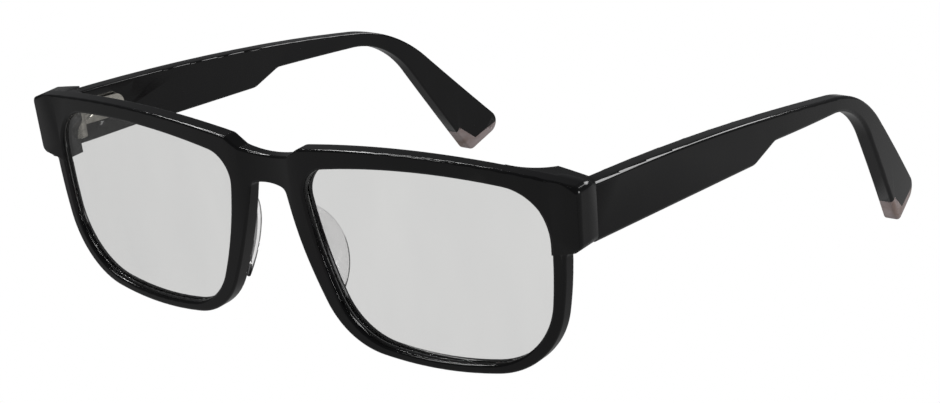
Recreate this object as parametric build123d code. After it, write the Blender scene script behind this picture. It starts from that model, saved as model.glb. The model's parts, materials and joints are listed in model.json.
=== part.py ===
from build123d import *
import os
from math import atan, atan2, copysign, cos, degrees, radians, sin, sqrt

# Eyeglasses with an acetate front, two demo lenses and two folding arms.
# Millimetres, +Z up, the front faces -Y, the arms run back along +Y.
# "Left" is the wearer's left, the +X side.
# Front pieces are drawn in the face frame: x sideways, y back, z up, with its
# origin midway between the top outer corners.  That frame then leans by
# PANTO_ANGLE, so that the arms run level.

# ---- front ----
FACE_RADIUS = 340.0
FRONT_THICK = 3.8
SIDE_THICK = 3.3
PANTO_ANGLE = 7.6
LENS_WIDTH = 52.2
LENS_HEIGHT = 37.6
LENS_GAP = 19.2
LENS_TOP = -0.4
TOP_RIM = 3.3
LOW_RIM = 1.8
SIDE_RIM = 2.7
NOSE_RIM = 4.4
# corners of the lens opening: in from its side, off its top or bottom, rounding
TOP_NASAL = (-0.7, 2.9, 6.0)
TOP_OUTER = (-0.2, 2.1, 10.0)
LOW_OUTER = (2.6, 3.6, 16.0)
LOW_NASAL = (8.4, 2.4, 14.0)
# how far the middles of the lens opening's sides move off the middle of its box
NASAL_BOW = 1.9
OUTER_BOW_UP = 1.5
LOW_BOW_OUT = 1.0
# corners of the rim's outside: in from the rim's side, up from its bottom, rounding
RIM_LOW_OUTER = (4.3, 3.4, 17.0)
RIM_LOW_NASAL = (6.0, 2.6, 16.0)
RIM_SIDE_BOW = (1.2, 13.0)
NOSE_BOW = (4.1, 5.0)
NOSE_TOP_IN = 0.8
NOSE_TOP_DROP = 0.6
NOSE_TOP_ROUND = 1.6
BRIDGE_TOP = -1.4
BRIDGE_HEIGHT = 5.9
BRIDGE_HALF = 6.2
BRIDGE_RISE = 0.7
BRIDGE_STEP_RUN = 3.0
BRIDGE_STEP_RISE = 1.9
BRIDGE_ROUND = 1.0
BROW_ROUND = 2.0
SCOOP_DEPTH = 0.9
SCOOP_HALF = 7.0
SCOOP_LIP_ROUND = 14.0
END_OVERHANG = 4.2
END_HEIGHT = 12.0
END_TAPER = 0.5
END_BACK = 12.0
END_FLARE = 8.0
END_INNER = 1.0
END_INNER_DROP = 3.0
NOTCH_DROP = 0.9
NOTCH_GAP = 0.3
NOTCH_ROUND = 1.6
CORNER_ROUND = 1.5
FACE_EDGE_ROUND = 0.6
BACK_EDGE_ROUND = 0.8

# ---- lenses ----
LENS_RADIUS = 375.0
LENS_SET_BACK = 1.5
LENS_THICK = 1.3
LENS_TONGUE = 0.8
TONGUE_THICK = 0.7
LENS_CLEARANCE = 0.03

# ---- nose pads ----
PAD_X = 6.2
PAD_TOP = -9.0
NOSE_SLOPE = 0.23
PAD_LENGTH = 24.0
PAD_REACH = 5.4
PAD_THICK = 2.5
PAD_SPLAY = 18.0
PAD_LOBE = 0.55
PAD_EDGE_LAND = 0.4

# ---- hinges ----
KNUCKLE_BITE = 0.2
HINGE_BEHIND = 0.6
HINGE_CENTRE = -6.0
KNUCKLE_RADIUS = 1.5
KNUCKLE_HEIGHT = 1.7
KNUCKLE_GAP = 0.05
KNUCKLES = 5
SWING_CLEARANCE = 0.15
LEAF_THICK = 1.0
LEAF_WALL = 1.3
ARM_LEAF_LENGTH = 14.0
ARM_LEAF_HEIGHT = 5.0
ARM_LEAF_PROUD = 0.25
PIN_RADIUS = 0.7
PIN_CLEARANCE = 0.03
PIN_HEAD_RADIUS = 1.2
PIN_HEAD_HEIGHT = 0.6
SLOT_WIDTH = 0.3
SLOT_DEPTH = 0.3
LEAF_SCREW_RADIUS = 0.5
LEAF_SCREW_HEAD = 0.9
LEAF_SCREW_HEAD_HEIGHT = 0.4
LEAF_SCREW_LENGTH = 2.4
LEAF_SLOT_DEPTH = 0.2
FRONT_SLOT_TURN = 30.0
ARM_SLOT_TURN = 65.0
ARM_SCREW_PLACES = (0.38, 0.74)
DRILL_START = 1.0

# ---- arms ----
ARM_INSET = 0.9
ARM_THICK = 3.7
ARM_GAP = 0.12
ARM_TOP = 0.3
ARM_HEIGHT = 11.2
ARM_CROWN = 0.3
CROWN_PLACE = 0.46
CROWN_END = 5.0
CROWN_FALL = 2.6
ARM_TAPER = 1.7
STEP_START = 69.5
STEP_LENGTH = 8.0
STEP_LOW_Z = -5.9
STEP_ROUND = 4.0
ARM_BEND = 108.0
BEND_LEAD = 10.3
BEND_FALL = 3.9
BEND_LOW_LEAD = 7.7
BEND_TOP_RADIUS = 44.0
BEND_LOW_RADIUS = 26.0
DROP_REAR_ANGLE = 39.2
DROP_FRONT_ANGLE = 50.2
TIP_END_ANGLE = 26.0
TIP_ROUND = 1.8
TIP_REAR_ROUND = 3.0
CURL_START = 75.0
BLANK_AHEAD = 10.0
CURL_RADIUS = 450.0
OUTER_EDGE_ROUND = 0.8
INNER_EDGE_ROUND = 0.5
CAP_RIM = 1.8
CAP_FRONT = 7.5
CAP_REAR = 3.5
CAP_SIDE = 1.3
CAP_PEAK_RUN = 0.4
CAP_VALLEY_SIDE = 0.9
CAP_VALLEY_RUN = 0.6

# ---- core wires ----
WIRE_WIDTH = 2.0
WIRE_THICK = 1.2
WIRE_START = 29.0
WIRE_END_GAP = 12.0
WIRE_CLEARANCE = 0.05
WIRE_DROP = 3.9

# ---- derived sizes ----
LENS_IN = LENS_GAP / 2
LENS_OUT = LENS_IN + LENS_WIDTH
LENS_LOW = LENS_TOP - LENS_HEIGHT
LENS_MID = (LENS_IN + LENS_OUT) / 2
LENS_HALFWAY = (LENS_TOP + LENS_LOW) / 2
RIM_OUT = LENS_OUT + SIDE_RIM
RIM_BOTTOM = LENS_LOW - LOW_RIM
HALF = RIM_OUT + END_OVERHANG
REACH = 4 * HALF


def arc_depth(x, radius):
    """How far a surface of this radius has curved back at a distance x from the nose."""
    return radius - sqrt(radius ** 2 - x ** 2)


def face_y(x):
    """Depth of the front surface at a distance x from the nose."""
    return arc_depth(x, FACE_RADIUS)


SIDE_BACK = face_y(LENS_OUT) + SIDE_THICK - FRONT_THICK
BACK_RADIUS = (LENS_OUT ** 2 + SIDE_BACK ** 2) / (2 * SIDE_BACK)


def back_y(x):
    """Depth of the back surface at a distance x from the nose."""
    return FRONT_THICK + arc_depth(x, BACK_RADIUS)


def rounded(face, rounds):
    """Face with (corner, radius) pairs rounded."""
    for corner, radius in rounds:
        vertex = face.vertices().sort_by_distance(Vector(*corner))[0]
        face = fillet(vertex, radius)
    return face


def mirrored(shape):
    """The same shape on the wearer's other side."""
    return mirror(shape, about=Plane.YZ)


def lens_outline(grow=0.0):
    """Left lens opening seen from the front: four bowed sides, rounded corners."""
    top_nasal = (LENS_IN + TOP_NASAL[0], LENS_TOP - TOP_NASAL[1])
    top_outer = (LENS_OUT - TOP_OUTER[0], LENS_TOP - TOP_OUTER[1])
    low_outer = (LENS_OUT - LOW_OUTER[0], LENS_LOW + LOW_OUTER[1])
    low_nasal = (LENS_IN + LOW_NASAL[0], LENS_LOW + LOW_NASAL[1])
    sides = [
        ThreePointArc(top_nasal, (LENS_MID, LENS_TOP), top_outer),
        ThreePointArc(top_outer, (LENS_OUT, LENS_HALFWAY + OUTER_BOW_UP), low_outer),
        ThreePointArc(low_outer, (LENS_MID + LOW_BOW_OUT, LENS_LOW), low_nasal),
        ThreePointArc(low_nasal, (LENS_IN + NASAL_BOW, LENS_HALFWAY), top_nasal),
    ]
    corners = [
        (top_nasal, TOP_NASAL[2]),
        (top_outer, TOP_OUTER[2]),
        (low_outer, LOW_OUTER[2]),
        (low_nasal, LOW_NASAL[2]),
    ]
    face = make_face(sides)
    if grow:
        face = offset(face, grow, kind=Kind.INTERSECTION)
    return rounded(face, [(corner, radius + grow) for corner, radius in corners])


def level_arc(height, end):
    """Arc that leaves the middle plane level, at this height, and reaches a point."""
    rise = end[1] - height
    radius = (end[0] ** 2 + rise ** 2) / (2 * abs(rise))
    middle = height + copysign(arc_depth(end[0] / 2, radius), rise)
    return ThreePointArc((0, height), (end[0] / 2, middle), end)


def front_outline():
    """Outer outline of the left half of the front, from the nose to the end piece."""
    bridge_low = BRIDGE_TOP - BRIDGE_HEIGHT
    bridge_end = (BRIDGE_HALF, BRIDGE_TOP + BRIDGE_RISE)
    brow_start = (BRIDGE_HALF + BRIDGE_STEP_RUN, bridge_end[1] + BRIDGE_STEP_RISE)
    corner = (HALF, 0)
    notch_out = (HALF - END_TAPER, -END_HEIGHT)
    notch_in = (RIM_OUT + NOTCH_GAP, -END_HEIGHT - NOTCH_DROP)
    side_middle = (RIM_OUT - RIM_SIDE_BOW[0], -END_HEIGHT - RIM_SIDE_BOW[1])
    low_outer = (RIM_OUT - RIM_LOW_OUTER[0], RIM_BOTTOM + RIM_LOW_OUTER[1])
    low_nasal = (LENS_IN + RIM_LOW_NASAL[0], RIM_BOTTOM + RIM_LOW_NASAL[1])
    nose_middle = (LENS_IN - NOSE_RIM + NOSE_BOW[0], LENS_HALFWAY - NOSE_BOW[1])
    nose_top = (LENS_IN - NOSE_RIM - NOSE_TOP_IN, bridge_low - NOSE_TOP_DROP)
    edges = [
        level_arc(BRIDGE_TOP, bridge_end),
        Line(bridge_end, brow_start),
        ThreePointArc(brow_start, (LENS_MID, LENS_TOP + TOP_RIM), corner),
        Line(corner, notch_out),
        Line(notch_out, notch_in),
        ThreePointArc(notch_in, side_middle, low_outer),
        ThreePointArc(low_outer, (LENS_MID, RIM_BOTTOM), low_nasal),
        ThreePointArc(low_nasal, nose_middle, nose_top),
        level_arc(bridge_low, nose_top),
        Line((0, bridge_low), (0, BRIDGE_TOP)),
    ]
    rounds = [
        (bridge_end, BRIDGE_ROUND),
        (brow_start, BROW_ROUND),
        (corner, CORNER_ROUND),
        (notch_out, CORNER_ROUND),
        (notch_in, NOTCH_ROUND),
        (low_outer, RIM_LOW_OUTER[2]),
        (low_nasal, RIM_LOW_NASAL[2]),
        (nose_top, NOSE_TOP_ROUND),
    ]
    return rounded(make_face(edges), rounds)


def front_slab(face, half=REACH):
    """Straight prism, front to back, on an outline seen from the front."""
    return extrude(Plane.XZ * face, half, both=True)


def behind(depth, radius):
    """Plan of all that is behind an upright curved surface at this depth at the nose."""
    front_half = Pos(0, depth, 0) * Rectangle(REACH, radius)
    return (Pos(0, depth + radius, 0) * Circle(radius)) & front_half


def upright(plan):
    """Prism of unlimited height on a plan."""
    return extrude(plan, REACH, both=True)


def lens_band(near, far):
    """Band between two depths behind the lens's front surface."""
    depths = (LENS_SET_BACK + near, LENS_SET_BACK + far)
    back_line = Pos(0, depths[0] + LENS_RADIUS / 4, 0) * Rectangle(REACH, LENS_RADIUS / 2)
    near_side, far_side = (behind(d, LENS_RADIUS + LENS_SET_BACK - d) for d in depths)
    return upright((near_side - far_side) & back_line)


def front_plan():
    """The front seen from above: a curved strip with a shallow scoop at the nose."""
    edge_x = HALF + END_OVERHANG
    left = (edge_x, face_y(edge_x))
    right = (-edge_x, face_y(edge_x))
    left_back = (edge_x, back_y(edge_x))
    right_back = (-edge_x, back_y(edge_x))
    lip_left = (SCOOP_HALF, face_y(SCOOP_HALF))
    lip_right = (-SCOOP_HALF, face_y(SCOOP_HALF))
    mid_x = (edge_x + SCOOP_HALF) / 2
    edges = [
        ThreePointArc(left, (mid_x, face_y(mid_x)), lip_left),
        ThreePointArc(lip_left, (0, SCOOP_DEPTH), lip_right),
        ThreePointArc(lip_right, (-mid_x, face_y(mid_x)), right),
        Line(right, right_back),
        ThreePointArc(right_back, (0, FRONT_THICK), left_back),
        Line(left_back, left),
    ]
    return rounded(make_face(edges), [(lip_left, SCOOP_LIP_ROUND), (lip_right, SCOOP_LIP_ROUND)])


def end_block():
    """Thick end piece behind the outer corner of the front, up to the arm joint."""
    inner = LENS_OUT - END_INNER
    start = inner - END_FLARE
    outside = HALF + END_OVERHANG
    middle_y = (face_y(start) + back_y(start)) / 2
    emerge_y = back_y(start) - BACK_EDGE_ROUND / 2
    flare_middle = (inner - END_FLARE / 4, (emerge_y + END_BACK) / 2)
    plan = make_face([
        Line((outside, middle_y), (start, middle_y)),
        Line((start, middle_y), (start, emerge_y)),
        ThreePointArc((start, emerge_y), flare_middle, (inner, END_BACK)),
        Line((inner, END_BACK), (outside, END_BACK)),
        Line((outside, END_BACK), (outside, middle_y)),
    ])
    low = -END_HEIGHT - NOTCH_DROP
    seen_from_front = make_face(Polyline(
        (start, END_OVERHANG), (outside, END_OVERHANG), (outside, low), (RIM_OUT, low),
        (start, low - END_INNER_DROP), close=True))
    return upright(plan) & front_slab(seen_from_front)


def box_between(low, high):
    """Box from one corner point to the opposite one."""
    size = [b - a for a, b in zip(low, high)]
    middle = [(a + b) / 2 for a, b in zip(low, high)]
    return Pos(*middle) * Box(*size)


def upright_cylinder(radius, low, high):
    """Cylinder on the hinge axis between two heights."""
    return Pos(PIN_X, PIN_Y, (low + high) / 2) * Cylinder(radius, high - low)


# ---- hinge places, in the face frame ----
PIN_Y = END_BACK + HINGE_BEHIND
PITCH = KNUCKLE_HEIGHT + KNUCKLE_GAP
STACK_LOW = HINGE_CENTRE - (KNUCKLES * PITCH - KNUCKLE_GAP) / 2
STACK_HIGH = HINGE_CENTRE + (KNUCKLES * PITCH - KNUCKLE_GAP) / 2
ARM_OUT = HALF - ARM_INSET
ARM_IN = ARM_OUT - ARM_THICK
PIN_X = ARM_IN - KNUCKLE_RADIUS + KNUCKLE_BITE
FRONT_LEAF_WIDTH = HALF - PIN_X - KNUCKLE_RADIUS - LEAF_WALL
SWING_RADIUS = KNUCKLE_RADIUS + SWING_CLEARANCE


def knuckles(first):
    """Every second barrel of the hinge stack, starting at the given one."""
    barrels = [
        upright_cylinder(KNUCKLE_RADIUS, STACK_LOW + n * PITCH,
                         STACK_LOW + n * PITCH + KNUCKLE_HEIGHT)
        for n in range(first, KNUCKLES, 2)
    ]
    return Part() + barrels


def pin_hole():
    """Bore through the barrels, with the counterbore for the screw's head."""
    low = STACK_LOW - DRILL_START
    high = STACK_HIGH + DRILL_START
    bore = upright_cylinder(PIN_RADIUS + PIN_CLEARANCE, low, high)
    seat = upright_cylinder(PIN_HEAD_RADIUS + PIN_CLEARANCE, STACK_HIGH - PIN_HEAD_HEIGHT, high)
    return bore + seat


def front_leaf_screw_places():
    """The two screws of the front leaf, one above the other."""
    x = PIN_X + KNUCKLE_RADIUS + FRONT_LEAF_WIDTH / 2
    offset_z = (STACK_HIGH - STACK_LOW) / 4
    return [(x, HINGE_CENTRE - offset_z), (x, HINGE_CENTRE + offset_z)]


def screw(length, slot_along=0):
    """Countersunk slotted screw along -Z with the top of its head at z = 0."""
    head = Pos(0, 0, -LEAF_SCREW_HEAD_HEIGHT / 2) * Cylinder(
        LEAF_SCREW_HEAD, LEAF_SCREW_HEAD_HEIGHT)
    shank = Pos(0, 0, -length / 2) * Cylinder(LEAF_SCREW_RADIUS, length)
    slot = Rot(0, 0, slot_along) * Box(4 * LEAF_SCREW_HEAD, SLOT_WIDTH, 2 * LEAF_SLOT_DEPTH)
    return head + shank - slot


def screw_hole(length):
    """Hole that the leaf screw fills exactly, open at the head end."""
    middle = DRILL_START / 2 - LEAF_SCREW_HEAD_HEIGHT
    head = Pos(0, 0, middle) * Cylinder(LEAF_SCREW_HEAD, DRILL_START)
    shank = Pos(0, 0, -length / 2) * Cylinder(LEAF_SCREW_RADIUS, length)
    return head + shank


def front_leaf_blank(grow=0.0):
    """Plate in the back of the end piece, as tall as the stack of barrels."""
    low = (PIN_X, END_BACK - LEAF_THICK - grow, STACK_LOW - grow)
    high = (PIN_X + KNUCKLE_RADIUS + FRONT_LEAF_WIDTH + grow, END_BACK, STACK_HIGH + grow)
    return box_between(low, high)


def front_screw_frames():
    """Frames of the front leaf's screws, driven forwards into the end piece."""
    return [Pos(x, END_BACK, z) * Rot(-90, 0, 0) for x, z in front_leaf_screw_places()]


def swing_room(first):
    """Room in which the other leaf's barrels turn, in the face frame."""
    return Part() + [
        upright_cylinder(SWING_RADIUS, STACK_LOW + n * PITCH - KNUCKLE_GAP,
                         STACK_LOW + (n + 1) * PITCH)
        for n in range(first, KNUCKLES, 2)
    ]


def front_leaf():
    """Front half of the hinge: a sunk plate with three barrels."""
    leaf = front_leaf_blank() - swing_room(1) + knuckles(0) - pin_hole()
    for frame in front_screw_frames():
        leaf = leaf - frame * screw_hole(LEAF_SCREW_LENGTH)
    return leaf


def front_leaf_screws():
    """Two screws that hold the front leaf."""
    return Part() + [frame * screw(LEAF_SCREW_LENGTH, FRONT_SLOT_TURN) for frame in front_screw_frames()]


def hinge_screw():
    """Slotted screw that is the hinge pin."""
    head_low = STACK_HIGH - PIN_HEAD_HEIGHT
    shank = upright_cylinder(PIN_RADIUS, STACK_LOW, STACK_HIGH)
    head = upright_cylinder(PIN_HEAD_RADIUS, head_low, STACK_HIGH)
    slot = Pos(PIN_X, PIN_Y, STACK_HIGH) * Box(4 * PIN_RADIUS, SLOT_WIDTH, 2 * SLOT_DEPTH)
    return shank + head - slot


# ---- front ----
def middle_depth(x):
    """Depth half way between the front and the back surface."""
    return (face_y(x) + back_y(x)) / 2


def lies(edge, side):
    """Whether a whole edge is in front of (-1) or behind (+1) the middle of the front."""
    points = [edge @ 0, edge @ 0.5, edge @ 1]
    return all(side * (p.Y - middle_depth(p.X)) > 0 for p in points)


def borders_lens(edge):
    """Whether an edge of the front lies on the outline of a lens opening."""
    opening = lens_outline().faces()[0].outer_wire()
    points = [edge @ 0, edge @ 0.5, edge @ 1]
    return all(opening.distance_to(Vertex(abs(p.X), p.Z, 0)) < LENS_CLEARANCE for p in points)


def front_body():
    """The curved acetate front with its edges rounded, before the end pieces."""
    outline = front_outline()
    outline = outline + mirrored(outline)
    body = front_slab(outline) & upright(front_plan())
    body = fillet([e for e in body.edges() if lies(e, -1)], FACE_EDGE_ROUND)
    body = fillet([e for e in body.edges() if lies(e, 1)], BACK_EDGE_ROUND)
    body = body - front_slab(lens_outline() + mirrored(lens_outline()))
    around = [e for e in body.edges() if lies(e, -1) and borders_lens(e)]
    return fillet(around, FACE_EDGE_ROUND)


def lens_groove():
    """Groove round the left lens opening that holds the lens's tongue."""
    depth = (LENS_THICK - TONGUE_THICK) / 2
    band = lens_band(depth - LENS_CLEARANCE, depth + TONGUE_THICK + LENS_CLEARANCE)
    return front_slab(lens_outline(LENS_TONGUE)) & band


def left_end_piece():
    """Left end piece behind the front, with the outline of the front."""
    return front_slab(front_outline()) & end_block()


def left_front_cuts():
    """What is let into the left side of the front: groove, hinge leaf and its screws."""
    swing = upright_cylinder(SWING_RADIUS, STACK_LOW - SWING_CLEARANCE,
                             STACK_HIGH + SWING_CLEARANCE)
    holes = [frame * screw_hole(LEAF_SCREW_LENGTH) for frame in front_screw_frames()]
    return [lens_groove(), swing, front_leaf_blank()] + holes


def front_frame():
    """The acetate front in one piece."""
    end_piece = left_end_piece() - front_slab(lens_outline())
    body = front_body() + end_piece + mirrored(end_piece)
    for cut in left_front_cuts():
        body = body - cut - mirrored(cut)
    return body


def lens():
    """Clear lens: a thin curved sheet with a tongue all round that sits in the groove."""
    sheet = front_slab(lens_outline(-LENS_CLEARANCE)) & lens_band(0, LENS_THICK)
    depth = (LENS_THICK - TONGUE_THICK) / 2
    tongue = front_slab(lens_outline(LENS_TONGUE - LENS_CLEARANCE)) & lens_band(
        depth, depth + TONGUE_THICK)
    return sheet + tongue


def nose_pad():
    """Crescent pad glued on the back of the left rim, beside the nose."""
    root = -FRONT_THICK
    profile = make_face([
        ThreePointArc((root, 0), (PAD_REACH, -PAD_LOBE * PAD_LENGTH), (root, -PAD_LENGTH)),
        Line((root, -PAD_LENGTH), (root, 0)),
    ])
    pad = extrude(Plane.YZ * profile, PAD_THICK)
    back_edges = [e for e in pad.edges() if e.geom_type == GeomType.CIRCLE]
    pad = fillet(back_edges, (PAD_THICK - PAD_EDGE_LAND) / 2)
    lean = degrees(atan(NOSE_SLOPE))
    place = Pos(PAD_X, FRONT_THICK, PAD_TOP) * Rot(0, -lean, 0) * Rot(0, 0, -PAD_SPLAY)
    return place * pad & upright(behind(FRONT_THICK, BACK_RADIUS))


# ---- arms, in the level frame ----
def levelled(shape):
    """A shape of the face frame, leaned into the level frame of the arms."""
    return Rot(PANTO_ANGLE, 0, 0) * shape


def level_point(y, z):
    """Side-view point of the face frame in the level frame."""
    lean = radians(PANTO_ANGLE)
    return (y * cos(lean) - z * sin(lean), y * sin(lean) + z * cos(lean))


def along(start, direction, distance, side=0.0):
    """Point at a distance along a direction, and moved to its left side."""
    dy, dz = direction
    return (start[0] + dy * distance - dz * side, start[1] + dz * distance + dy * side)


def slope(angle):
    """Unit vector in side view, turned up by an angle from straight back."""
    return (cos(radians(angle)), sin(radians(angle)))


def meet(point_a, way_a, point_b, way_b):
    """Where two side-view lines cross."""
    cross = way_a[0] * way_b[1] - way_a[1] * way_b[0]
    gap = (point_b[0] - point_a[0], point_b[1] - point_a[1])
    return along(point_a, way_a, (gap[0] * way_b[1] - gap[1] * way_b[0]) / cross)


RIM_LOW = level_point(face_y(LENS_MID), RIM_BOTTOM)[1]
PIN_LEVEL_Y, LEAF_Z = level_point(PIN_Y, HINGE_CENTRE)
REAR_WAY = slope(-DROP_REAR_ANGLE)
FRONT_WAY = slope(-DROP_FRONT_ANGLE)
END_WAY = slope(TIP_END_ANGLE)
BEND_TOP = (ARM_BEND + BEND_LEAD, ARM_TOP - BEND_FALL)
BEND_LOW = (ARM_BEND + BEND_LOW_LEAD, STEP_LOW_Z)
TIP_CORNER_HALF = radians(180 - DROP_FRONT_ANGLE - TIP_END_ANGLE) / 2
TIP_CORNER_SINK = TIP_ROUND / sin(TIP_CORNER_HALF) * sin(
    TIP_CORNER_HALF + radians(TIP_END_ANGLE)) - TIP_ROUND
TIP_LOW = meet(BEND_LOW, FRONT_WAY, (0, RIM_LOW - TIP_CORNER_SINK), (1, 0))
TIP_REAR = meet(BEND_TOP, REAR_WAY, TIP_LOW, END_WAY)


def arm_profile():
    """Side view of a whole arm, its tip included."""
    top_start = (0, ARM_TOP - ARM_CROWN)
    top_middle = (ARM_BEND * CROWN_PLACE, ARM_TOP + ARM_CROWN)
    top_end = (ARM_BEND - CROWN_END, ARM_TOP - CROWN_FALL)
    step_start = (STEP_START, ARM_TOP - ARM_HEIGHT + ARM_TAPER)
    step_end = (STEP_START + STEP_LENGTH, STEP_LOW_Z)
    low_start = (0, ARM_TOP - ARM_HEIGHT - ARM_CROWN)
    edges = [
        ThreePointArc(top_start, top_middle, top_end),
        Line(top_end, BEND_TOP),
        Line(BEND_TOP, TIP_REAR),
        Line(TIP_REAR, TIP_LOW),
        Line(TIP_LOW, BEND_LOW),
        Line(BEND_LOW, step_end),
        Line(step_end, step_start),
        Line(step_start, low_start),
        Line(low_start, top_start),
    ]
    rounds = [
        (BEND_TOP, BEND_TOP_RADIUS),
        (TIP_REAR, TIP_REAR_ROUND),
        (TIP_LOW, TIP_ROUND),
        (BEND_LOW, BEND_LOW_RADIUS),
        (step_end, STEP_ROUND),
        (step_start, STEP_ROUND),
    ]
    return rounded(make_face(edges), rounds)


def arm_band(outer, inner):
    """Strip seen from above that curls inwards behind the ear, given two depths."""
    centre = (ARM_OUT - CURL_RADIUS, CURL_START)
    turn = degrees(atan2(REACH - CURL_START, CURL_RADIUS))

    def curl_point(depth, angle):
        radius = CURL_RADIUS - depth
        return (centre[0] + radius * cos(radians(angle)), centre[1] + radius * sin(radians(angle)))

    edges = [
        Line((ARM_OUT - outer, -BLANK_AHEAD), (ARM_OUT - outer, CURL_START)),
        ThreePointArc(curl_point(outer, 0), curl_point(outer, turn / 2), curl_point(outer, turn)),
        Line(curl_point(outer, turn), curl_point(inner, turn)),
        ThreePointArc(curl_point(inner, turn), curl_point(inner, turn / 2), curl_point(inner, 0)),
        Line((ARM_OUT - inner, CURL_START), (ARM_OUT - inner, -BLANK_AHEAD)),
        Line((ARM_OUT - inner, -BLANK_AHEAD), (ARM_OUT - outer, -BLANK_AHEAD)),
    ]
    return extrude(make_face(edges), REACH, both=True)


def side_slab(face):
    """Prism across the whole width on a side view."""
    return extrude(Plane.YZ * face, REACH)


def tongue_face():
    """Side view of everything that is black acetate: it ends in a V inside the cap."""
    front_seam = along(TIP_LOW, FRONT_WAY, -CAP_FRONT)
    peak = along(front_seam, FRONT_WAY, -CAP_PEAK_RUN, CAP_SIDE)
    beside_corner = along(TIP_LOW, FRONT_WAY, 0, CAP_SIDE + CAP_VALLEY_SIDE)
    valley = along(beside_corner, END_WAY, CAP_VALLEY_RUN, CAP_RIM)
    rear = along(TIP_REAR, END_WAY, -CAP_RIM, CAP_RIM)
    rear_seam = along(TIP_REAR, REAR_WAY, -CAP_REAR)
    return make_face(Polyline(
        along(front_seam, FRONT_WAY, 0.0, -REACH / 8), front_seam, peak, valley, rear, rear_seam,
        along(rear_seam, REAR_WAY, 0.0, REACH / 8), (REACH, 2 * HALF), (-HALF, 2 * HALF),
        (-HALF, RIM_LOW), close=True))


def wire_path():
    """Middle line of the arm, from behind the hinge leaf to near the tip."""
    tip_middle = ((TIP_LOW[0] + TIP_REAR[0]) / 2, (TIP_LOW[1] + TIP_REAR[1]) / 2)
    bend_middle = ((BEND_TOP[0] + BEND_LOW[0]) / 2, (BEND_TOP[1] + BEND_LOW[1]) / 2)
    back = sqrt((tip_middle[0] - bend_middle[0]) ** 2 + (tip_middle[1] - bend_middle[1]) ** 2)
    way = ((tip_middle[0] - bend_middle[0]) / back, (tip_middle[1] - bend_middle[1]) / back)
    end = along(bend_middle, way, back - WIRE_END_GAP)
    return [(WIRE_START, LEAF_Z), (STEP_START, ARM_TOP - WIRE_DROP), bend_middle, end]


def core_wire(grow=0.0):
    """Flat metal wire that stiffens the arm, or the room that it fills."""
    points = wire_path()
    points[0] = (points[0][0] - grow, points[0][1])
    line = FilletPolyline(*points, radius=(BEND_TOP_RADIUS + BEND_LOW_RADIUS) / 2)
    face = trace(line, WIRE_WIDTH + 2 * grow)
    middle = ARM_THICK / 2
    depth = WIRE_THICK / 2 + grow
    return side_slab(face) & arm_band(middle - depth, middle + depth)


def arm_leaf_plate():
    """Round-ended plate in the inner face of the arm."""
    straight = ARM_LEAF_LENGTH - ARM_LEAF_HEIGHT / 2
    middle = PIN_LEVEL_Y + straight / 2
    face = (Pos(middle, LEAF_Z) * Rectangle(straight, ARM_LEAF_HEIGHT)
            + Pos(PIN_LEVEL_Y + straight, LEAF_Z) * Circle(ARM_LEAF_HEIGHT / 2))
    inner = ARM_IN - ARM_LEAF_PROUD
    return Pos(inner, 0, 0) * extrude(Plane.YZ * face, LEAF_THICK)


def butt_room():
    """Everything in front of the sloping joint face of the arm."""
    return levelled(Pos(0, END_BACK + ARM_GAP - REACH / 2, 0) * Box(4 * REACH, REACH, 2 * REACH))


def arm_screw_frames():
    """Frames of the arm leaf's screws, driven outwards into the arm."""
    inner = ARM_IN - ARM_LEAF_PROUD
    places = [PIN_LEVEL_Y + share * ARM_LEAF_LENGTH for share in ARM_SCREW_PLACES]
    return [Pos(inner, y, LEAF_Z) * Rot(0, -90, 0) for y in places]


def arm_leaf():
    """Arm half of the hinge: a sunk plate with two barrels."""
    leaf = arm_leaf_plate() - butt_room() - levelled(swing_room(0))
    leaf = leaf + levelled(knuckles(1) - pin_hole())
    leaf = leaf - levelled(upright_cylinder(PIN_RADIUS + PIN_CLEARANCE, STACK_LOW, STACK_HIGH))
    for frame in arm_screw_frames():
        leaf = leaf - frame * screw_hole(LEAF_SCREW_LENGTH)
    return leaf


def arm_leaf_screws():
    """Two screws that hold the arm leaf."""
    return Part() + [frame * screw(LEAF_SCREW_LENGTH, ARM_SLOT_TURN) for frame in arm_screw_frames()]


def arm_middle_x(y):
    """Distance of the middle of the arm's thickness from the nose."""
    curled = max(y - CURL_START, 0)
    return ARM_OUT - ARM_THICK / 2 - arc_depth(curled, CURL_RADIUS)


def runs_along(edge, side):
    """Whether an edge lies on the outer (+1) or inner (-1) side of the arm."""
    points = [edge @ 0, edge @ 0.5, edge @ 1]
    return all(side * (p.X - arm_middle_x(p.Y)) > 0 for p in points)


def whole_arm():
    """Left arm with its cap, before the parts inside it are let in."""
    blank = side_slab(arm_profile()) & arm_band(0, ARM_THICK)
    for side, radius in ((1, OUTER_EDGE_ROUND), (-1, INNER_EDGE_ROUND)):
        blank = fillet([e for e in blank.edges() if runs_along(e, side)], radius)
    return blank - butt_room()


def arm_and_cap():
    """Black arm and the clear cap on its tip, split along a V."""
    blank = whole_arm()
    tongue = side_slab(tongue_face())
    swing = levelled(upright_cylinder(SWING_RADIUS, STACK_LOW - SWING_CLEARANCE,
                                      STACK_HIGH + SWING_CLEARANCE))
    arm = (blank & tongue) - swing - arm_leaf_plate() - core_wire(WIRE_CLEARANCE)
    for frame in arm_screw_frames():
        arm = arm - frame * screw_hole(LEAF_SCREW_LENGTH)
    return arm, blank - tongue


# ---- the assembly ----
arm, cap = arm_and_cap()
front_parts = {
    "lens": lens(),
    "nose_pad": nose_pad(),
    "front_hinge_leaf": front_leaf(),
    "front_leaf_screws": front_leaf_screws(),
    "hinge_screw": hinge_screw(),
}
arm_parts = {
    "arm": arm,
    "core_wire": core_wire(),
    "arm_hinge_leaf": arm_leaf(),
    "arm_leaf_screws": arm_leaf_screws(),
    "tip_cap": cap,
}

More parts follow.
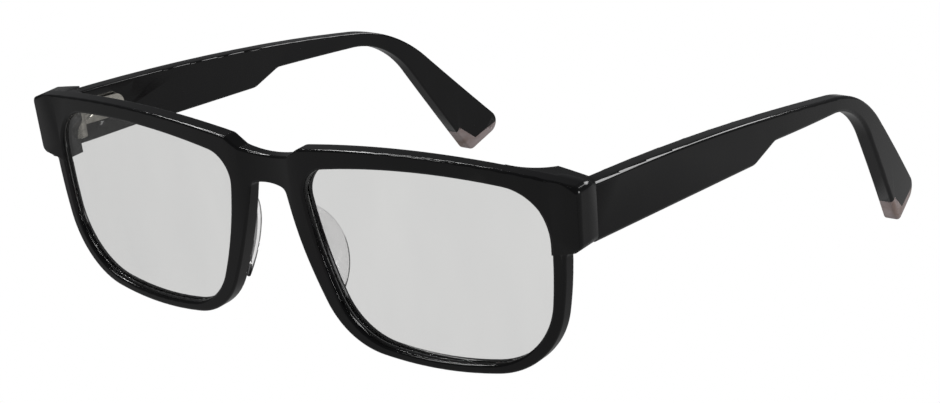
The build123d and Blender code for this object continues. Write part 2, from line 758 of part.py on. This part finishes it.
nodes = {"front_frame": levelled(front_frame())}
for name, shape in front_parts.items():
    nodes["left_" + name] = levelled(shape)
    nodes["right_" + name] = levelled(mirrored(shape))
for name, shape in arm_parts.items():
    nodes["left_" + name] = shape
    nodes["right_" + name] = mirrored(shape)

box = Compound([solid for shape in nodes.values() for solid in shape.solids()]).bounding_box()
home = Pos(0, -(box.min.Y + box.max.Y) / 2, -box.min.Z)

os.makedirs("parts", exist_ok=True)
for name, shape in nodes.items():
    placed = home * shape
    solids = placed.solids()
    export_step(solids[0] if len(solids) == 1 else Compound(children=list(solids)), f"parts/{name}.step")
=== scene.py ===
import json
from math import cos, radians, sin

import bpy
from mathutils import Matrix, Vector


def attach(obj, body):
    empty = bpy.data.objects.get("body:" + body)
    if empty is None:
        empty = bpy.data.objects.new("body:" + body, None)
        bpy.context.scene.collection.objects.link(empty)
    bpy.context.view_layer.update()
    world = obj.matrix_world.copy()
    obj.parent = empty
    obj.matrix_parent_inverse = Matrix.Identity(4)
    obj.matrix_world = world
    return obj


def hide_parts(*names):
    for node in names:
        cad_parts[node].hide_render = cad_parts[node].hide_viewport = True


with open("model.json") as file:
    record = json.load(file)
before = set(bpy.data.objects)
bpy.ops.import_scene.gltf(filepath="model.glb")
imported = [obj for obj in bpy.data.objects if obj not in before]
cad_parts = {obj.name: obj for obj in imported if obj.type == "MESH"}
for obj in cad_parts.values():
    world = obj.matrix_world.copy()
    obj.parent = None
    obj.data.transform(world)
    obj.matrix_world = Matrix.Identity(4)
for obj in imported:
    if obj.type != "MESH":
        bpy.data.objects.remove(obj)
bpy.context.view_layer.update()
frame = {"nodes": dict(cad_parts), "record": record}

NODES = frame["nodes"]
MM = 0.001

# ---------------------------------------------------------------- camera
CAMERA_PLACE = (0.28522, -0.38553, 0.14541)
CAMERA_AZIMUTH = 37.29
CAMERA_ELEVATION = 15.66
CAMERA_ROLL = -1.25
CAMERA_LENS_MM = 87.28
SENSOR_MM = 36.0


def place_camera():
    """Camera in front of the wearer's left side, a little above the glasses."""
    data = bpy.data.cameras.new("view_camera")
    camera = bpy.data.objects.new("view_camera", data)
    bpy.context.collection.objects.link(camera)
    azimuth, elevation = radians(CAMERA_AZIMUTH), radians(CAMERA_ELEVATION)
    roll = radians(CAMERA_ROLL)
    back = Vector((sin(azimuth) * cos(elevation), -cos(azimuth) * cos(elevation), sin(elevation)))
    right = Vector((cos(azimuth), sin(azimuth), 0))
    up = back.cross(right)
    turned_right = right * cos(roll) + up * sin(roll)
    turned_up = up * cos(roll) - right * sin(roll)
    axes = Matrix((turned_right, turned_up, back)).transposed().to_4x4()
    camera.matrix_world = Matrix.Translation(CAMERA_PLACE) @ axes
    data.lens = CAMERA_LENS_MM
    data.sensor_width = SENSOR_MM
    bpy.context.scene.camera = camera


# ---------------------------------------------------------------- studio
FLOOR_HALF = 4.0
FLOOR_SEEN = 1.0
FLOOR_LIT = 0.27
ROOM_LIGHT = 0.11
ROOM_COLOUR = (0.97, 0.98, 1.0, 1)
AIM = (0, 0, 0.03)
# name, place, width and height in metres, power in watts
LAMPS = (
    ("brow_strip_front", (-0.52, -0.26, 0.72), 0.75, 0.06, 2.2),
    ("brow_strip_back", (-0.52, 0.10, 0.74), 0.75, 0.05, 1.9),
    ("rear_panel", (0.26, 0.86, 0.68), 0.50, 0.34, 3.4),
    ("side_panel", (1.05, 0.22, 0.30), 0.40, 0.35, 3.0),
)


def area_light(name, place, width, height, power):
    """Soft rectangular lamp aimed at the middle of the glasses."""
    data = bpy.data.lights.new(name, "AREA")
    data.shape = "RECTANGLE"
    data.size = width
    data.size_y = height
    data.energy = power
    lamp = bpy.data.objects.new(name, data)
    bpy.context.collection.objects.link(lamp)
    lamp.location = place
    lamp.rotation_euler = (Vector(AIM) - Vector(place)).to_track_quat("-Z", "Y").to_euler()


def floor_material():
    """White light-table floor: bright to look at, and dimmer once light has bounced."""
    material = bpy.data.materials.new("light_table")
    material.use_nodes = True
    nodes, links = material.node_tree.nodes, material.node_tree.links
    nodes.clear()
    out = nodes.new("ShaderNodeOutputMaterial")
    glow = nodes.new("ShaderNodeEmission")
    path = nodes.new("ShaderNodeLightPath")
    bounced = nodes.new("ShaderNodeMath")
    strength = nodes.new("ShaderNodeMapRange")
    strength.inputs["To Min"].default_value = FLOOR_SEEN
    strength.inputs["To Max"].default_value = FLOOR_LIT
    links.new(path.outputs["Glossy Depth"], bounced.inputs[0])
    links.new(path.outputs["Diffuse Depth"], bounced.inputs[1])
    links.new(bounced.outputs[0], strength.inputs["Value"])
    links.new(strength.outputs["Result"], glow.inputs["Strength"])
    links.new(glow.outputs["Emission"], out.inputs["Surface"])
    return material


def studio():
    """Pale floor, dim pale surround and soft lamps."""
    bpy.context.scene.view_settings.view_transform = "Standard"
    world = bpy.data.worlds.new("studio")
    bpy.context.scene.world = world
    world.use_nodes = True
    background = world.node_tree.nodes["Background"]
    background.inputs["Color"].default_value = ROOM_COLOUR
    background.inputs["Strength"].default_value = ROOM_LIGHT
    mesh = bpy.data.meshes.new("floor")
    corners = [(-FLOOR_HALF, -FLOOR_HALF), (FLOOR_HALF, -FLOOR_HALF),
               (FLOOR_HALF, FLOOR_HALF), (-FLOOR_HALF, FLOOR_HALF)]
    mesh.from_pydata([(x, y, 0) for x, y in corners], [], [(0, 1, 2, 3)])
    floor = bpy.data.objects.new("floor", mesh)
    bpy.context.collection.objects.link(floor)
    mesh.materials.append(floor_material())
    for lamp in LAMPS:
        area_light(*lamp)


# ---------------------------------------------------------------- material tools
class Shader:
    """A Principled material and the few node links that every finish here shares."""

    def __init__(self, name):
        self.material = bpy.data.materials.new(name)
        self.material.use_nodes = True
        self.nodes = self.material.node_tree.nodes
        self.links = self.material.node_tree.links
        self.surface = self.nodes["Principled BSDF"]
        self.place = self.nodes.new("ShaderNodeTexCoord").outputs["Object"]

    def set(self, **values):
        """Constants on the shader's own sockets, underscores for spaces."""
        for name, value in values.items():
            self.surface.inputs[name.replace("_", " ")].default_value = value
        return self

    def stretched(self, scale):
        """Object coordinates stretched per axis."""
        mapping = self.nodes.new("ShaderNodeMapping")
        mapping.inputs["Scale"].default_value = scale
        self.links.new(self.place, mapping.inputs["Vector"])
        return mapping.outputs["Vector"]

    def noise(self, scale, detail=3.0, roughness=0.5, where=None, distortion=0.0):
        """Noise value at a scale in cells per metre."""
        node = self.nodes.new("ShaderNodeTexNoise")
        node.inputs["Scale"].default_value = scale
        node.inputs["Detail"].default_value = detail
        node.inputs["Roughness"].default_value = roughness
        node.inputs["Distortion"].default_value = distortion
        self.links.new(where or self.place, node.inputs["Vector"])
        return node.outputs["Fac"]

    def cells(self, scale):
        """Distance to the nearest point of a random scatter."""
        node = self.nodes.new("ShaderNodeTexVoronoi")
        node.inputs["Scale"].default_value = scale
        self.links.new(self.place, node.inputs["Vector"])
        return node.outputs["Distance"]

    def spread(self, value, low, high, to_low, to_high, smooth=False):
        """A value mapped from one range to another, held at the ends."""
        node = self.nodes.new("ShaderNodeMapRange")
        node.interpolation_type = "SMOOTHSTEP" if smooth else "LINEAR"
        pairs = (("From Min", low), ("From Max", high), ("To Min", to_low), ("To Max", to_high))
        for socket, number in pairs:
            node.inputs[socket].default_value = number
        self.links.new(value, node.inputs["Value"])
        return node.outputs["Result"]

    def combine(self, operation, first, second):
        """Sum, product or other operation on two values, either of them a number."""
        node = self.nodes.new("ShaderNodeMath")
        node.operation = operation
        for socket, value in zip(node.inputs, (first, second)):
            if isinstance(value, (int, float)):
                socket.default_value = value
            else:
                self.links.new(value, socket)
        return node.outputs[0]

    def colours(self, value, *stops):
        """Colour ramp with (place, colour) stops."""
        node = self.nodes.new("ShaderNodeValToRGB")
        band = node.color_ramp
        while len(band.elements) < len(stops):
            band.elements.new(0.5)
        for element, (place, colour) in zip(band.elements, stops):
            element.position = place
            element.color = (*colour, 1)
        self.links.new(value, node.inputs["Fac"])
        return node.outputs["Color"]

    def edges(self, low=0.505, high=0.56):
        """1 on worn convex edges, 0 on flats."""
        point = self.nodes.new("ShaderNodeNewGeometry").outputs["Pointiness"]
        return self.spread(point, low, high, 0.0, 1.0, smooth=True)

    def facing(self, low=0.45, high=0.75):
        """1 on the faces that look forwards or back, 0 round the cut edge: the mask for the
        lens's painted edge shade.
        """
        apart = self.nodes.new("ShaderNodeSeparateXYZ")
        self.links.new(self.nodes.new("ShaderNodeTexCoord").outputs["Normal"], apart.inputs[0])
        depth = self.nodes.new("ShaderNodeMath")
        depth.operation = "ABSOLUTE"
        self.links.new(apart.outputs["Y"], depth.inputs[0])
        return self.spread(depth.outputs[0], low, high, 0.0, 1.0, smooth=True)

    def to(self, socket, value):
        """Feed a varying value or colour into the shader."""
        self.links.new(value, self.surface.inputs[socket])

    def bump(self, *layers):
        """Stack of (height, strength, depth in metres) bumps."""
        normal = None
        for height, strength, depth in layers:
            node = self.nodes.new("ShaderNodeBump")
            node.inputs["Strength"].default_value = strength
            node.inputs["Distance"].default_value = depth
            self.links.new(height, node.inputs["Height"])
            if normal:
                self.links.new(normal, node.inputs["Normal"])
            normal = node.outputs["Normal"]
        self.links.new(normal, self.surface.inputs["Normal"])


# ---------------------------------------------------------------- finishes
ACETATE_IOR = 1.48
LENS_IOR = 1.50
BLACK_DEEP = (0.0028, 0.0028, 0.0032)
BLACK_HAZE = (0.0050, 0.0049, 0.0052)
DUST = (0.060, 0.058, 0.055)
# painted shade: dark violet on the lens's cut edge, standing in for the dark line where the edge
# sits in the black groove
LENS_EDGE_PAINTED_SHADE = (0.012, 0.012, 0.030)
LENS_MARK = (0.40, 0.40, 0.46)
LENS_GREY = (0.665, 0.665, 0.66)
LENS_CLEAR = (0.70, 0.70, 0.692)
CRYSTAL_SMOKE = (0.80, 0.79, 0.79)
CRYSTAL_CLEAR = (0.93, 0.925, 0.93)
MAUVE_AMBER = (0.20, 0.135, 0.105)
MAUVE_DARK = (0.33, 0.265, 0.255)
MAUVE_PEARL = (0.50, 0.43, 0.43)
MAUVE_DEPTH = (1.5 * MM, 1.1 * MM, 0.9 * MM)
NICKEL_SILVER = (0.74, 0.71, 0.64)
PLATED_STEEL = (0.80, 0.79, 0.77)
DRAWN_WIRE = (0.62, 0.60, 0.56)
GRIME_SHADE = 0.55


def scattered(shader, spacing, size, patches, density):
    """Specks of a size (in cells) in some patches only: 1 on a speck, 0 beside it."""
    near = shader.spread(shader.cells(spacing), 0.0, size, 1.0, 0.0, smooth=True)
    patch = shader.spread(shader.noise(patches, detail=1), 0.60, density, 0.0, 1.0)
    return shader.combine("MULTIPLY", near, patch)


def black_acetate():
    """Polished black acetate: soft buffing ripple, hairlines, dust and duller edges."""
    shader = Shader("black_acetate").set(IOR=ACETATE_IOR, Specular_IOR_Level=0.42)
    cloud = shader.noise(60, detail=4)
    grain = shader.noise(2600, detail=2)
    hairlines = shader.noise(900, detail=2, where=shader.stretched((0.25, 3, 3)))
    ripple = shader.noise(140, detail=2)
    specks = scattered(shader, spacing=420, size=0.045, patches=150, density=0.68)
    tone = shader.combine("ADD", cloud, shader.combine("MULTIPLY", specks, 0.9))
    shader.to("Base Color", shader.colours(
        tone, (0.30, BLACK_DEEP), (0.68, BLACK_HAZE), (1.0, DUST)))
    gloss = shader.spread(cloud, 0.3, 0.7, 0.055, 0.105)
    scratches = shader.spread(hairlines, 0.55, 0.75, 0.0, 0.05)
    worn = shader.combine("MULTIPLY", shader.edges(), 0.06)
    dusty = shader.combine("MULTIPLY", specks, 0.4)
    rough = shader.combine("ADD", shader.combine("ADD", gloss, scratches), worn)
    shader.to("Roughness", shader.combine("ADD", rough, dusty))
    shader.bump((ripple, 0.03, 0.2 * MM), (grain, 0.02, 0.01 * MM), (specks, 0.2, 0.02 * MM))
    return shader.material


def clear_lens():
    """Demo lens: clear, faint grey cast, a few marks and smears, and painted dark violet shade on
    the cut edge.
    """
    shader = Shader("clear_lens").set(IOR=LENS_IOR, Transmission_Weight=1.0)
    smear = shader.noise(70, detail=5, roughness=0.6, where=shader.stretched((1, 1, 0.35)))
    specks = scattered(shader, spacing=230, size=0.05, patches=90, density=0.64)
    faint = shader.combine("MULTIPLY", specks, 0.2)
    clean = shader.combine("SUBTRACT", smear, faint)
    # tone is 0 round the cut edge, so the ramp paints dark violet shade there; smears and specks
    # are the lens's own marks
    tone = shader.combine("MULTIPLY", clean, shader.facing())
    shader.to("Base Color", shader.colours(
        tone, (0.0, LENS_EDGE_PAINTED_SHADE), (0.10, LENS_MARK), (0.30, LENS_GREY), (0.75, LENS_CLEAR)))
    shader.to("Roughness", shader.combine(
        "ADD", shader.spread(smear, 0.45, 0.80, 0.0, 0.012), faint))
    return shader.material


def crystal_acetate():
    """Clear polished acetate of the nose pads, slightly smoky, with flow lines inside."""
    shader = Shader("crystal_acetate").set(IOR=ACETATE_IOR, Transmission_Weight=1.0)
    flow = shader.noise(110, detail=3, where=shader.stretched((1, 1, 0.3)), distortion=0.6)
    shader.to("Base Color", shader.colours(flow, (0.3, CRYSTAL_SMOKE), (0.7, CRYSTAL_CLEAR)))
    shader.to("Roughness", shader.spread(shader.noise(400), 0.3, 0.7, 0.015, 0.06))
    shader.bump((flow, 0.08, 0.1 * MM))
    return shader.material


def mauve_acetate():
    """Mauve-grey acetate of the tip caps: pearly clouds, smooth gloss, amber in places."""
    shader = Shader("mauve_acetate").set(
        IOR=ACETATE_IOR, Subsurface_Weight=0.12, Subsurface_Radius=MAUVE_DEPTH)
    cloud = shader.noise(170, detail=4, where=shader.stretched((1, 0.6, 1)), distortion=0.8)
    shader.to("Base Color", shader.colours(
        cloud, (0.25, MAUVE_AMBER), (0.45, MAUVE_DARK), (0.75, MAUVE_PEARL)))
    gloss = shader.spread(shader.noise(500), 0.3, 0.7, 0.10, 0.17)
    worn = shader.combine("MULTIPLY", shader.edges(), 0.08)
    shader.to("Roughness", shader.combine("ADD", gloss, worn))
    shader.bump((shader.noise(220, detail=2), 0.10, 0.3 * MM))
    return shader.material


def brushed_metal(name, colour, brushed, rough):
    """Metal with brushed lines, small pits and darker grime between them."""
    shader = Shader(name).set(Metallic=1.0)
    lines = shader.noise(2200, detail=3, where=shader.stretched(brushed))
    grime = shader.noise(350, detail=4)
    dark = tuple(GRIME_SHADE * c for c in colour)
    shader.to("Base Color", shader.colours(grime, (0.25, dark), (0.5, colour)))
    shader.to("Roughness", shader.combine(
        "ADD", shader.spread(lines, 0.3, 0.7, rough - 0.06, rough + 0.08),
        shader.spread(grime, 0.35, 0.6, 0.12, 0.0)))
    pits = shader.spread(shader.cells(1500), 0.0, 0.25, 0.0, 1.0)
    shader.bump((lines, 0.25, 0.02 * MM), (pits, 0.12, 0.02 * MM))
    return shader.material


FINISHES = {
    "black_acetate": black_acetate(),
    "clear_lens": clear_lens(),
    "crystal_acetate": crystal_acetate(),
    "mauve_acetate": mauve_acetate(),
    "hinge_metal": brushed_metal("hinge_metal", NICKEL_SILVER, (1, 0.12, 1), 0.26),
    "screw_metal": brushed_metal("screw_metal", PLATED_STEEL, (1, 1, 1), 0.18),
    "wire_metal": brushed_metal("wire_metal", DRAWN_WIRE, (1, 0.08, 1), 0.34),
}

# ---------------------------------------------------------------- pieces
SMOOTH_ANGLE = 40
CORNER_WEIGHT = 100
WELD_DISTANCE = 0.002 * MM
SLOT_OF = {part["node"]: part["material_slot"] for part in frame["record"]["subparts"]}
BODY_OF = {
    node: body
    for body, members in frame["record"]["behaviour"]["bodies"].items()
    for node in members
}


def polished(node):
    """The node's own shape as a welded, smooth-shaded piece that stands for it."""
    mesh = NODES[node].data.copy()
    mesh.name = node + "_polished"
    piece = bpy.data.objects.new(node + "_polished", mesh)
    bpy.context.collection.objects.link(piece)
    weld = piece.modifiers.new("weld", "WELD")
    weld.merge_threshold = WELD_DISTANCE
    graph = bpy.context.evaluated_depsgraph_get()
    welded = bpy.data.meshes.new_from_object(piece.evaluated_get(graph))
    piece.modifiers.clear()
    piece.data = welded
    welded.shade_smooth()
    welded.set_sharp_from_angle(angle=radians(SMOOTH_ANGLE))
    even = piece.modifiers.new("even_normals", "WEIGHTED_NORMAL")
    even.keep_sharp = True
    even.mode = "FACE_AREA_WITH_ANGLE"
    even.weight = CORNER_WEIGHT
    welded.materials.clear()
    welded.materials.append(FINISHES[SLOT_OF[node]])
    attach(piece, BODY_OF[node])
    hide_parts(node)


place_camera()
studio()
for node in sorted(NODES):
    polished(node)
